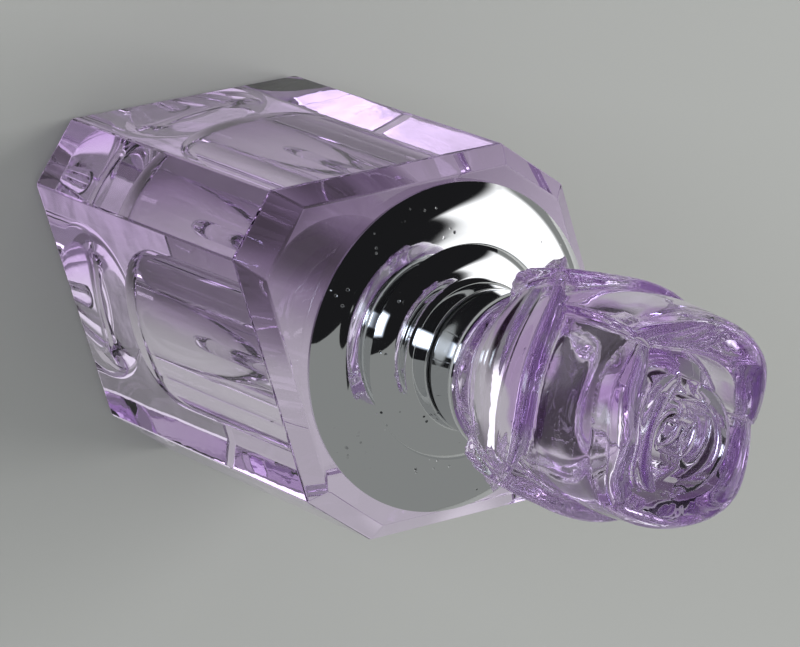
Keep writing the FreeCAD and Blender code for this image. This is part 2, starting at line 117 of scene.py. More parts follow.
class Maker:
    """Adds nodes to one shader or geometry tree, and links them."""

    def __init__(self, tree):
        self.tree = tree
        tree.nodes.clear()

    def node(self, kind, settings=None, inputs=None):
        """A new node: its settings are set first, then each input's value or link."""
        node = self.tree.nodes.new(kind)
        for name, value in (settings or {}).items():
            if name == "stops":
                self.fill_ramp(node.color_ramp, value)
            else:
                setattr(node, name, value)
        for name, value in (inputs or {}).items():
            self.feed(node.inputs[name], value)
        return node

    def fill_ramp(self, ramp, stops):
        while len(ramp.elements) < len(stops):
            ramp.elements.new(1.0)
        for element, (place, colour) in zip(ramp.elements, stops):
            element.position = place
            element.color = (*colour, 1.0)

    def feed(self, socket, value):
        if isinstance(value, Number):
            value = value.socket
        if isinstance(value, bpy.types.NodeSocket):
            self.tree.links.new(value, socket)
        else:
            socket.default_value = value

    def get(self, kind, output, settings=None, inputs=None):
        """One output of a new node, as a Number."""
        return Number(self, self.node(kind, settings, inputs).outputs[output])

    def math(self, operation, *values):
        inputs = dict(enumerate(values))
        return self.get("ShaderNodeMath", 0, {"operation": operation}, inputs)

    def ease(self, value, low, high):
        """0 below low, 1 above high, with a smooth step between."""
        return self.get("ShaderNodeMapRange", "Result", {"interpolation_type": "SMOOTHSTEP"},
                        {"Value": value, "From Min": low, "From Max": high})

    def colour(self, factor, first, second, blend="MIX"):
        """First where the factor is 0 and second where it is 1."""
        node = self.node("ShaderNodeMix", {"data_type": "RGBA", "blend_type": blend})
        self.feed(node.inputs["Factor"], factor)
        for socket, value in zip([s for s in node.inputs if s.type == "RGBA"], (first, second)):
            self.feed(socket, (*value, 1.0) if isinstance(value, tuple) else value)
        return [s for s in node.outputs if s.type == "RGBA"][0]


# ---------------------------------------------------------------- materials

class Finish(Maker):
    """A material built on one Principled shader, with patterns in millimetres."""

    def __init__(self, name, **sockets):
        self.material = bpy.data.materials.new(name)
        self.material.use_nodes = True
        super().__init__(self.material.node_tree)
        self.shader = self.node("ShaderNodeBsdfPrincipled")
        self.output = self.node("ShaderNodeOutputMaterial")
        self.tree.links.new(self.shader.outputs["BSDF"], self.output.inputs["Surface"])
        place = self.node("ShaderNodeTexCoord").outputs["Object"]
        scaled = self.node("ShaderNodeMapping", None, {"Vector": place})
        scaled.inputs["Scale"].default_value = (1 / MM,) * 3
        self.place = scaled.outputs["Vector"]
        self.set(**sockets)

    def set(self, **sockets):
        """Values or links for the shader: base_color stands for Base Color, and so on."""
        for name, value in sockets.items():
            title = name.replace("_", " ").title()
            title = {"Ior": "IOR"}.get(title, title)
            if isinstance(value, tuple):
                value = (*value, 1.0)
            self.feed(self.shader.inputs[title], value)

    def noise(self, size, detail=2.0, roughness=0.5, place=None):
        """Cloudy pattern from 0 to 1, with blobs about size millimetres wide."""
        return self.get("ShaderNodeTexNoise", "Fac", None, {
            "Vector": place or self.place, "Scale": 1 / size,
            "Detail": detail, "Roughness": roughness})

    def dots(self, spacing, place=None):
        """Distance to the nearest of scattered points spacing millimetres apart."""
        return self.get("ShaderNodeTexVoronoi", "Distance", None, {
            "Vector": place or self.place, "Scale": 1 / spacing})

    def stretched(self, scale):
        """The place of a pattern that is stretched along an axis where its scale is small."""
        return self.node("ShaderNodeMapping", None, {"Vector": self.place, "Scale": scale}).outputs[0]

    def away_from(self, spot):
        """Distance in millimetres from one spot."""
        return self.get("ShaderNodeVectorMath", "Value", {"operation": "DISTANCE"},
                        {0: self.place, 1: spot})

    def along(self):
        """Distance in millimetres along +Y."""
        return self.get("ShaderNodeSeparateXYZ", "Y", None, {"Vector": self.place})

    def bump(self, relief, depth, strength=1.0):
        """Surface relief depth millimetres high."""
        self.set(normal=self.node("ShaderNodeBump", None, {
            "Height": relief, "Distance": depth * MM, "Strength": strength}).outputs[0])


def make_glass(name, tint, violet, clouds, depth_colour, density,
               unevenness=0.02, haze=0.02, pale=None):
    """Polished glass, a little uneven, with fine wiping marks and colour that deepens with thickness.

    The violet gathers in clouds: their size, how much more of it the side that faces -Y has,
    and the values of the cloud pattern at which it starts and is full. A pale part has its middle,
    and the distances from there at which the violet starts and is full."""
    finish = Finish(name, transmission_weight=1.0, ior=1.5)
    marks = finish.noise(0.35, 3.0, 0.6, finish.stretched((1.0, 1.0, 0.15)))
    smudges = finish.ease(finish.noise(6.0, 3.0), 0.5, 0.72)
    along = finish.along()
    size, drift, start, full = clouds
    gathered = finish.ease(finish.noise(size, 2.0) - along * drift, start, full)
    if pale:
        middle, near, far = pale
        gathered = gathered * finish.ease(finish.away_from(middle), near, far)
    finish.set(
        base_color=finish.colour(gathered, tint, violet),
        roughness=finish.ease(marks, 0.58, 0.8) * haze + smudges * haze,
    )
    relief = finish.noise(7.0, 1.0) + finish.noise(1.6, 1.0) * 0.12
    finish.bump(relief, unevenness)
    inside = finish.node("ShaderNodeVolumeAbsorption", None, {
        "Color": (*depth_colour, 1.0), "Density": density})
    finish.tree.links.new(inside.outputs["Volume"], finish.output.inputs["Volume"])
    return finish.material


def make_plating(name, settings):
    """Bright plating with wiping haze, patches of fine black pits and one worn brassy spot."""
    finish = Finish(name, metallic=1.0)
    grain = finish.noise(1.1, 4.0, 0.7)
    pitted = 1 - finish.ease(finish.away_from((10.6, 6.2, 33.0)) + grain * 3, 2.6, 5.2)
    patches = finish.ease(finish.noise(2.4, 4.0, 0.6), 0.56, 0.64)
    pits = 1 - finish.ease(finish.dots(0.62), 0.1 + grain * 0.1, 0.17 + grain * 0.1)
    pits = pits * finish.math("MAXIMUM", pitted, patches)
    worn = 1 - finish.ease(finish.away_from((12.2, 3.2, 32.7)) + grain * 2.4, 1.5, 2.6)
    haze = finish.noise(5.0, 4.0)
    bright = finish.colour(worn, tuple(settings.plating), tuple(settings.brass))
    finish.set(
        base_color=finish.colour(pits, bright, (0.02, 0.02, 0.022)),
        roughness=haze * 0.05 + worn * 0.15 + pits * 0.4 + 0.015,
        metallic=1 - pits * 0.6,
    )
    finish.bump(finish.noise(4.0, 1.0) * 0.5 - pits, 0.012)
    return finish.material


def make_plastic(name, tone, shine):
    """Moulded plastic with a faint flow pattern and a fine skin texture."""
    finish = Finish(name, ior=1.49)
    flow = finish.noise(4.0, 3.0, 0.55, finish.stretched((1, 1, 0.3)))
    finish.set(
        base_color=finish.colour(flow, tone, tuple(part * 0.86 for part in tone)),
        roughness=finish.noise(0.6) * 0.12 + shine,
    )
    finish.bump(finish.noise(0.25, 2.0), 0.006)
    return finish.material


def make_clear_gasket(name):
    """Clear soft plastic, slightly milky."""
    finish = Finish(name, transmission_weight=0.9, ior=1.46)
    cloud = finish.noise(1.2, 3.0)
    finish.set(
        base_color=finish.colour(cloud, (0.93, 0.93, 0.94), (0.84, 0.84, 0.86)),
        roughness=cloud * 0.2 + 0.1,
    )
    finish.bump(cloud, 0.01)
    return finish.material


def make_rubber(name):
    """Black rubber, matt, with a fine grain."""
    finish = Finish(name)
    grain = finish.noise(0.15, 4.0, 0.6)
    finish.set(
        base_color=finish.colour(grain, (0.012, 0.012, 0.013), (0.035, 0.034, 0.033)),
        roughness=grain * 0.25 + 0.5,
    )
    finish.bump(grain, 0.01)
    return finish.material


# ---------------------------------------------------------------- shapes

def bow(start, end, bulge, steps=10):
    """Points of the arc from start to end that stands out by bulge to the left, without its end."""
    chord = math.dist(start, end)
    swing = 4 * math.atan2(2 * bulge, chord)
    if abs(swing) < 1e-6:
        return [start]
    reach = chord / (2 * math.sin(swing / 2))
    across = Vector((end[0] - start[0], end[1] - start[1])) / chord
    side = Vector((-across.y, across.x))
    middle = (Vector(start) + Vector(end)) / 2 - side * reach * math.cos(swing / 2)
    arm = Vector(start) - middle
    points = []
    for step in range(steps):
        angle = -swing * step / steps
        points.append(tuple(middle + Matrix.Rotation(angle, 2) @ arm))
    return points


def eased(corners, round_off=0.12, steps=4):
    """A closed outline with every corner rounded, as polishing and moulding leave it."""
    points = []
    count = len(corners)
    for index, corner in enumerate(corners):
        here = Vector(corner[:2])
        if len(corner) > 2:
            following = Vector(corners[(index + 1) % count][:2])
            points += bow(tuple(here), tuple(following), corner[2])
            continue
        before = Vector(corners[index - 1][:2])
        after = Vector(corners[(index + 1) % count][:2])
        room = min((before - here).length, (after - here).length) * 0.45
        cut = min(round_off, room)
        on_axis = here.x < 1e-6
        before_arc = len(corners[index - 1]) > 2
        if on_axis or before_arc:
            points.append(tuple(here))
            continue
        first = here + (before - here).normalized() * cut
        last = here + (after - here).normalized() * cut
        for step in range(steps + 1):
            share = step / steps
            points.append(tuple(first.lerp(here, share).lerp(here.lerp(last, share), share)))
    return points


def finish_mesh(name, mesh, material, smooth_below=40):
    """An object at the origin in metres, shaded smooth except at edges sharper than an angle."""
    mesh.transform(Matrix.Scale(MM, 4))
    mesh.materials.clear()
    mesh.materials.append(material)
    mesh.shade_smooth()
    mesh.set_sharp_from_angle(angle=math.radians(smooth_below))
    piece = bpy.data.objects.new(name, mesh)
    bpy.context.scene.collection.objects.link(piece)
    return piece


def turned_mesh(name, outline, segments=144):
    """A solid of revolution about Z from a closed half outline, in millimetres."""
    shape = bmesh.new()
    rings = []
    for across, up in outline:
        if across < 1e-6:
            rings.append([shape.verts.new((0, 0, up))] * segments)
            continue
        rings.append([
            shape.verts.new((across * math.cos(TURN * step / segments),
                             across * math.sin(TURN * step / segments), up))
            for step in range(segments)
        ])
    for ring, following in zip(rings, rings[1:] + rings[:1]):
        for step in range(segments):
            after = (step + 1) % segments
            corners = [ring[step], ring[after], following[after], following[step]]
            corners = list(dict.fromkeys(corners))
            if len(corners) > 2:
                shape.faces.new(corners)
    bmesh.ops.recalc_face_normals(shape, faces=shape.faces)
    mesh = bpy.data.meshes.new(name)
    shape.to_mesh(mesh)
    shape.free()
    return mesh


def turned(name, outline, material, segments=144):
    """A finished piece turned about Z from a closed half outline."""
    return finish_mesh(name, turned_mesh(name, outline, segments), material)


def applied(name, mesh, modifiers):
    """A copy of the mesh with the modifiers applied: each is (kind, settings)."""
    thing = bpy.data.objects.new(name, mesh)
    bpy.context.scene.collection.objects.link(thing)
    for kind, settings in modifiers:
        modifier = thing.modifiers.new(kind, kind)
        for key, value in settings.items():
            setattr(modifier, key, value)
    graph = bpy.context.evaluated_depsgraph_get()
    result = bpy.data.meshes.new_from_object(thing.evaluated_get(graph), depsgraph=graph)
    result.name = name
    bpy.data.objects.remove(thing)
    return result


def grown(tree, **sizes):
    """What a node tree makes, as a plain mesh: names of sizes are those of the tree's inputs."""
    thing = bpy.data.objects.new(tree.name, bpy.data.meshes.new(tree.name))
    bpy.context.scene.collection.objects.link(thing)
    modifier = thing.modifiers.new("Growth", "NODES")
    modifier.node_group = tree
    places = {item.name: item.identifier
              for item in tree.interface.items_tree if item.in_out == "INPUT"}
    for name, value in sizes.items():
        modifier[places[name.replace("_", " ").title()]] = value
    graph = bpy.context.evaluated_depsgraph_get()
    mesh = bpy.data.meshes.new_from_object(thing.evaluated_get(graph), depsgraph=graph)
    bpy.data.objects.remove(thing)
    return mesh


def joined(name, parts):
    """One mesh from several closed ones."""
    shape = bmesh.new()
    for part in parts:
        shape.from_mesh(part)
    whole = bpy.data.meshes.new(name)
    shape.to_mesh(whole)
    shape.free()
    return whole


def tree_with(name, inputs):
    """A geometry tree with named inputs and one mesh output, its maker and its input sockets."""
    tree = bpy.data.node_groups.new(name, "GeometryNodeTree")
    maker = Maker(tree)
    for title, value in inputs:
        kind = "NodeSocketInt" if isinstance(value, int) else "NodeSocketFloat"
        tree.interface.new_socket(title, in_out="INPUT", socket_type=kind).default_value = value
    tree.interface.new_socket("Mesh", in_out="OUTPUT", socket_type="NodeSocketGeometry")
    sockets = maker.node("NodeGroupInput").outputs
    given = {title: Number(maker, socket) for title, socket in sockets.items()}
    return tree, maker, given


def thread_tree(material):
    """Node group that winds a rounded screw thread round Z."""
    tree, maker, given = tree_with("Screw thread", (
        ("Radius", 4.0), ("Foot", 0.0), ("Height", 6.0), ("Pitch", 1.6), ("Depth", 0.28)))
    path = maker.node("GeometryNodeCurveSpiral", None, {
        "Resolution": 64, "Rotations": given["Height"] / given["Pitch"], "Start Radius": given["Radius"],
        "End Radius": given["Radius"], "Height": given["Height"]})
    level = maker.node("GeometryNodeSetCurveNormal", {"mode": "Z_UP"}, {"Curve": path.outputs[0]})
    ridge = maker.node("GeometryNodeCurvePrimitiveCircle", None, {
        "Resolution": 8, "Radius": given["Depth"]})
    wound = maker.node("GeometryNodeCurveToMesh", None, {
        "Curve": level.outputs[0], "Profile Curve": ridge.outputs["Curve"], "Fill Caps": True})
    lift = maker.node("ShaderNodeCombineXYZ", None, {"Z": given["Foot"]})
    lifted = maker.node("GeometryNodeSetPosition", None, {
        "Geometry": wound.outputs[0], "Offset": lift.outputs[0]})
    real = maker.node("GeometryNodeRealizeInstances", None, {"Geometry": lifted.outputs[0]})
    painted = maker.node("GeometryNodeSetMaterial", None, {
        "Geometry": real.outputs[0], "Material": material})
    maker.node("NodeGroupOutput", None, {"Mesh": painted.outputs[0]})
    return tree


def fit(piece, body, node):
    """The piece stands for a CAD node, whose own mesh is hidden, and moves with its body."""
    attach(piece, body)
    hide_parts(node)


# ---------------------------------------------------------------- settings

class BOTTLE_PG_glass(bpy.types.PropertyGroup):
    skew: FloatProperty(
        name="Skew", description="Degrees by which the section leaves the square", default=16.0)
    wide: FloatProperty(
        name="Blunt corners", description="Millimetres across the two cut blunt corners", default=30.0)
    narrow: FloatProperty(
        name="Sharp corners", description="Millimetres across the two cut sharp corners", default=39.0)
    bevel_rise: FloatProperty(
        name="Bevel height", description="Height of the shoulder bevel in millimetres", default=1.2)
    inset: FloatProperty(
        name="Bevel width", description="Width of the shoulder bevel on the flats", default=1.4)
    narrow_inset: FloatProperty(
        name="Corner bevel width", description="Width of that bevel on the sharp corners", default=2.5)
    base_edge: FloatProperty(
        name="Base edge", description="Ground edge round the base, in millimetres", default=0.5)
    arris: FloatProperty(
        name="Arris", description="Polished rounding along the cut edges, in millimetres", default=0.16)
    well: FloatProperty(
        name="Bore", description="Radius of the bore in millimetres", default=6.9)
    well_floor: FloatProperty(
        name="Floor", description="Glass left under the bore, in millimetres", default=2.1)
    well_round: FloatProperty(
        name="Floor round", description="Round between the bore's wall and floor", default=3.5)
    tint: FloatVectorProperty(
        name="Tint", description="Surface tint of the glass", subtype="COLOR",
        default=(0.985, 0.97, 1.0))
    depth_colour: FloatVectorProperty(
        name="Depth colour", description="Colour that light takes on inside the glass",
        subtype="COLOR", default=(0.62, 0.14, 0.92))
    density: FloatProperty(
        name="Density", description="How fast the colour deepens, per metre", default=6.0)
    rose_density: FloatProperty(
        name="Rose density", description="The same for the rose, per metre", default=8.0)
    violet: FloatVectorProperty(
        name="Violet", description="Tint of the glass where its colour gathers", subtype="COLOR",
        default=(0.84, 0.68, 0.94))
    rose_violet: FloatVectorProperty(
        name="Rose violet", description="The same for the rose", subtype="COLOR",
        default=(0.66, 0.42, 0.84))


class BOTTLE_PG_metal(bpy.types.PropertyGroup):
    plating: FloatVectorProperty(
        name="Plating", description="Colour of the bright plating", subtype="COLOR",
        default=(0.80, 0.81, 0.83))
    brass: FloatVectorProperty(
        name="Worn plating", description="Colour where the brass shows through", subtype="COLOR",
        default=(0.42, 0.38, 0.24))


class BOTTLE_PG_stage(bpy.types.PropertyGroup):
    azimuth: FloatProperty(
        name="Azimuth", description="Degrees round the bottle from -Y", default=61.8)
    elevation: FloatProperty(
        name="Elevation", description="Degrees above the horizon", default=52.7)
    roll: FloatProperty(
        name="Roll", description="Degrees the camera is rolled, so that the bottle lies down",
        default=111.2)
    distance: FloatProperty(
        name="Distance", description="Camera to the aim, in metres", default=0.370)
    lens: FloatProperty(
        name="Lens", description="Focal length in millimetres on a 36 mm sensor", default=225.0)
    floor_colour: FloatVectorProperty(
        name="Floor", description="Colour of the pale floor", subtype="COLOR",
        default=(0.47, 0.475, 0.465))


# ---------------------------------------------------------------- glass block

def lozenge(settings, inset, narrow_inset, up):
    """Corners of the block's section at one height: a lozenge with its corners cut."""
    skew = math.radians(settings.skew)
    square = math.radians(90)
    faces = [
        (skew, HALF_DEPTH - inset),
        (skew / 2 + square / 2, settings.wide / 2 - inset),
        (square, HALF_DEPTH - inset),
        (skew / 2 + square * 1.5, settings.narrow / 2 - narrow_inset),
    ]
    faces += [(angle + math.pi, reach) for angle, reach in faces]
    corners = []
    for (here, reach), (there, other) in zip(faces, faces[1:] + faces[:1]):
        spread = math.sin(there - here)
        x = (reach * math.sin(there) - other * math.sin(here)) / spread
        y = (other * math.cos(here) - reach * math.cos(there)) / spread
        corners.append((x, y, up))
    return corners


def block_shell(settings):
    """The outside of the block, with its arrises rounded and its end face left open."""
    levels = [
        lozenge(settings, settings.base_edge, settings.base_edge, BASE),
        lozenge(settings, 0, 0, BASE + settings.base_edge),
        lozenge(settings, 0, 0, END_FACE - settings.bevel_rise),
        lozenge(settings, settings.inset, settings.narrow_inset, END_FACE),
    ]
    shape = bmesh.new()
    rings = [[shape.verts.new(corner) for corner in level] for level in levels]
    shape.faces.new(rings[0][::-1])
    for ring, following in zip(rings, rings[1:]):
        for side in range(8):
            after = (side + 1) % 8
            shape.faces.new([ring[side], ring[after], following[after], following[side]])
    shape.faces.new(rings[-1])
    bmesh.ops.bevel(shape, geom=list(shape.edges), offset=settings.arris, offset_type="OFFSET",
                    segments=3, profile=0.5, affect="EDGES", clamp_overlap=True)
    top = max(shape.faces, key=lambda face: face.calc_center_median().z)
    bmesh.ops.delete(shape, geom=[top], context="FACES_ONLY")
    return shape


def make_block(settings):
    """The glass block: its cut outside, its round-floored bore and the end face between them."""
    shape = block_shell(settings)
    steps = 160
    well = settings.well
    bend = settings.well_round
    lip = 0.25
    wall = [(well + lip, END_FACE)]
    wall += bow((well + lip, END_FACE), (well, END_FACE - lip), -lip * 0.29, 4)[1:]
    wall += [(well, END_FACE - lip + (settings.well_floor + bend - END_FACE + lip) * share / 6)
             for share in range(6)]
    wall += bow((well, settings.well_floor + bend), (well - bend, settings.well_floor),
                bend * QUARTER_BULGE, 16)
    wall += [(well - bend, settings.well_floor)]
    rings = [
        [shape.verts.new((across * math.cos(TURN * step / steps),
                          across * math.sin(TURN * step / steps), up)) for step in range(steps)]
        for across, up in wall
    ]
    for ring, following in zip(rings, rings[1:]):
        for step in range(steps):
            after = (step + 1) % steps
            shape.faces.new([ring[step], following[step], following[after], ring[after]])
    shape.faces.new(rings[-1])
    rim = [edge for edge in shape.edges if edge.is_boundary]
    bmesh.ops.triangle_fill(shape, use_beauty=True, edges=rim, normal=(0, 0, 1))
    bmesh.ops.recalc_face_normals(shape, faces=shape.faces)
    mesh = bpy.data.meshes.new("glass_block")
    shape.to_mesh(mesh)
    shape.free()
    mesh.shade_smooth()
    return applied("glass_block", mesh, [
        ("WEIGHTED_NORMAL", {"mode": "FACE_AREA_WITH_ANGLE", "weight": 80, "keep_sharp": True})])


class BOTTLE_OT_glass_block(bpy.types.Operator):
    """Cut glass block with its bore"""
    bl_idname = "bottle.glass_block"
    bl_label = "Glass block"

    def execute(self, context):
        settings = context.scene.bottle_glass
        material = make_glass(
            "Lavender glass", tuple(settings.tint), tuple(settings.violet), (9.0, 0.11, 0.2, 1.7),
            tuple(settings.depth_colour), settings.density)
        mesh = make_block(settings)
        mesh.transform(Matrix.Scale(MM, 4))
        mesh.materials.append(material)
        piece = bpy.data.objects.new("glass_block", mesh)
        context.scene.collection.objects.link(piece)
        fit(piece, "bottle", "glass_bottle")
        return {"FINISHED"}


# ---------------------------------------------------------------- collar and stopper metal

class BOTTLE_OT_collar(bpy.types.Operator):
    """Plated collar with its domed flange, its gasket and the sleeve that holds it"""
    bl_idname = "bottle.collar"
    bl_label = "Collar, gasket and sleeve"

    def execute(self, context):
        plating = make_plating("Bright plating", context.scene.bottle_metal)
        foot = COLLAR_FOOT
        collar = turned("plated_collar", eased([
            (7.65, foot),
            (FLANGE, foot),
            (FLANGE, END_FACE + 0.7, -0.30),
            (9.0, END_FACE + 2.05, -0.01),
            (8.1, END_FACE + 2.1),
            (8.05, END_FACE + 2.18, -0.22),
            (6.0, END_FACE + 3.3, 0.08),
            (NECK, END_FACE + 3.7),
            (NECK, MOUTH),
            (4.95, MOUTH),
            (4.95, END_FACE + 1.15),
            (7.65, END_FACE + 1.15),
        ]), plating)
        fit(collar, "bottle", "collar")
        low = height("collar_gasket", 0)
        high = height("collar_gasket", 1)
        wide = radius("collar_gasket")
        gasket = turned("clear_gasket", eased([
            (7.7, low), (wide, low), (wide, high), (7.7, high)]), make_clear_gasket("Clear gasket"))
        fit(gasket, "bottle", "collar_gasket")
        fit(self.make_sleeve(), "bottle", "neck_sleeve")
        return {"FINISHED"}

    def make_sleeve(self):
        """Sleeve with a screw thread cut in its bore."""
        low = height("neck_sleeve", 0)
        high = height("neck_sleeve", 1)
        wide = radius("neck_sleeve")
        plastic = make_plastic("White plastic", (0.80, 0.79, 0.76), 0.28)
        tube = turned_mesh("threaded_sleeve", eased([
            (4.27, low), (6.25, low), (6.85, low + 0.6), (6.85, END_FACE), (wide, END_FACE),
            (wide, END_FACE + 1.1), (4.9, END_FACE + 1.1), (4.9, high), (4.3, high), (4.5, high - 0.4),
            (4.5, low + 0.4),
        ]))
        thread = grown(thread_tree(plastic), radius=4.53, foot=low + 0.7, height=high - low - 2.0,
                       **THREAD)
        return finish_mesh("threaded_sleeve", joined("threaded_sleeve", [tube, thread]), plastic)


class BOTTLE_OT_seal(bpy.types.Operator):
    """Black washer in the seam between the collar and the ferrule"""
    bl_idname = "bottle.seal"
    bl_label = "Sealing washer"

    def execute(self, context):
        wide = radius("sealing_washer")
        washer = turned("black_washer", eased([
            (4.1, WASHER_FOOT), (wide, WASHER_FOOT), (wide, WASHER_TOP), (4.1, WASHER_TOP)]),
            make_rubber("Black rubber"))
        fit(washer, "seal", "sealing_washer")
        return {"FINISHED"}


class BOTTLE_OT_stopper(bpy.types.Operator):
    """Plated ferrule, the screw plug in it and the glass dip rod"""
    bl_idname = "bottle.stopper"
    bl_label = "Ferrule, plug and rod"

    def execute(self, context):
        plating = bpy.data.materials["Bright plating"]
        lip = radius("stopper_ferrule")
        foot = FERRULE_FOOT
        top = FERRULE_TOP
        ferrule = turned("plated_ferrule", eased([
            (4.65, foot), (NECK, foot), (NECK, top - 1.2, 0.12), (lip - 0.03, top - 0.65, -0.12),
            (lip - 0.03, top), (5.4, top), (5.4, foot + 2.55), (0, foot + 2.55),
            (0, foot + 2.05), (4.65, foot + 2.05)]), plating)
        fit(ferrule, "stopper", "stopper_ferrule")
        fit(self.make_plug(foot), "stopper", "screw_plug")
        glass = make_glass("Clear glass", (0.99, 0.98, 1.0), (0.97, 0.96, 0.99), (9.0, 0.0, 0.4, 0.8),
                           (0.9, 0.85, 1.0), 5.0, 0.01, 0.01)
        tip = bow((0, ROD_TIP), (ROD, ROD_TIP + ROD), -ROD * QUARTER_BULGE, 14)
        rod = turned("glass_rod", tip + [
            (ROD, ROD_TIP + ROD), (ROD, ROD_TOP - 0.3), (ROD - 0.3, ROD_TOP), (0, ROD_TOP)], glass, 72)
        fit(rod, "stopper", "dip_rod")
        return {"FINISHED"}

    def make_plug(self, foot):
        """Plug with its screw thread, hollow for the rod."""
        low = height("screw_plug", 0)
        plastic = bpy.data.materials["White plastic"]
        core = turned_mesh("threaded_plug", eased([
            (1.55, low), (3.4, low), (3.74, low + 0.5), (3.74, foot - 1.0),
            (3.98, foot - 0.6), (3.98, foot),
            (4.6, foot), (4.6, foot + 2.0), (0, foot + 2.0),
            (0, ROD_TOP + 0.05), (1.55, ROD_TOP + 0.05)]))
        thread = grown(thread_tree(plastic), radius=3.73, foot=low + 0.9, height=foot - low - 2.6,
                       **THREAD)
        return finish_mesh("threaded_plug", joined("threaded_plug", [core, thread]), plastic)


# ---------------------------------------------------------------- rose

PETAL_INPUTS = (
    ("Count", 3), ("Azimuth", 0.0), ("Step", 120.0), ("Span", 150.0), ("Foot", 5.4), ("Reach", 8.0),
    ("Base", 0.6), ("Rise", 12.0), ("Side Rise", 6.0), ("Thickness", 1.6), ("Curl", 0.0),
    ("Side Curl", 0.0), ("Shift", 0.0), ("Drift", 0.0), ("Squeeze", 1.0), ("Wave", 0.0),
    ("Waves", 5.0), ("Phase", 0.0), ("Lean X", 0.0), ("Lean Y", 0.0),
)


def petal_tree(material):
    """Node group that bends a closed slab into a petal and repeats it round the rose's axis."""
    tree, maker, given = tree_with("Petal ring", PETAL_INPUTS)
    slab = maker.node("GeometryNodeMeshCube", None, {
        "Size": (1.0, 1.0, 1.0), "Vertices X": 72, "Vertices Y": 8, "Vertices Z": 40}).outputs["Mesh"]
    spot = maker.node("ShaderNodeSeparateXYZ", None, {
        "Vector": maker.node("GeometryNodeInputPosition").outputs[0]}).outputs
    across = Number(maker, spot["X"]) * 2
    deep = Number(maker, spot["Y"]) + 0.5
    up = Number(maker, spot["Z"]) + 0.5
    side = maker.math("ABSOLUTE", across)
    wave = maker.math("SINE", across * given["Waves"] + given["Phase"]) * given["Wave"]
    fall = (given["Rise"] - given["Side Rise"]) * maker.math("POWER", side, 2.4)
    rim = given["Rise"] - fall + wave
    middle = deep * 2 - 1
    dome = 1 - maker.math("SQRT", 1 - middle * middle * 0.98)
    thick = given["Thickness"] * (1 - maker.math("POWER", side, 4.0) * 0.5)
    tall = given["Base"] + (rim - given["Base"]) * up - maker.math("POWER", up, 12.0) * dome * thick * 0.5
    belly = maker.math("SINE", maker.math("MINIMUM", up * 2.2, math.pi / 2))
    reach = given["Foot"] + (given["Reach"] - given["Foot"]) * belly
    reach = reach + given["Curl"] * maker.ease(up, 0.72, 1.0)
    reach = reach + given["Side Curl"] * maker.ease(side, 0.6, 1.0) * up + given["Drift"] * across
    reach = reach - deep * thick
    angle = across * given["Span"] * (math.pi / 360)
    bent = maker.node("ShaderNodeCombineXYZ", None, {
        "X": reach * maker.math("COSINE", angle) + given["Shift"],
        "Y": reach * maker.math("SINE", angle) * given["Squeeze"],
        "Z": tall})
    petal = maker.node("GeometryNodeSetPosition", None, {"Geometry": slab, "Position": bent.outputs[0]})
    spots = maker.node("GeometryNodeMeshLine", None, {"Count": given["Count"], "Offset": (0.0, 0.0, 0.0)})
    index = maker.get("GeometryNodeInputIndex", 0)
    turned_by = (given["Azimuth"] + given["Step"] * index) * (math.pi / 180)
    turns = maker.node("ShaderNodeCombineXYZ", None, {"Z": turned_by})
    copies = maker.node("GeometryNodeInstanceOnPoints", None, {
        "Points": spots.outputs[0], "Instance": petal.outputs[0], "Rotation": turns.outputs[0]})
    real = maker.node("GeometryNodeRealizeInstances", None, {"Geometry": copies.outputs[0]})
    where = maker.node("ShaderNodeSeparateXYZ", None, {
        "Vector": maker.node("GeometryNodeInputPosition").outputs[0]}).outputs
    sway = maker.ease(Number(maker, where["Z"]), 0.0, 4.0)
    lean = maker.node("ShaderNodeCombineXYZ", None, {
        "X": sway * given["Lean X"], "Y": sway * given["Lean Y"]})
    leant = maker.node("GeometryNodeSetPosition", None, {
        "Geometry": real.outputs[0], "Offset": lean.outputs[0]})
    painted = maker.node("GeometryNodeSetMaterial", None, {
        "Geometry": leant.outputs[0], "Material": material})
    maker.node("NodeGroupOutput", None, {"Mesh": painted.outputs[0]})
    return tree


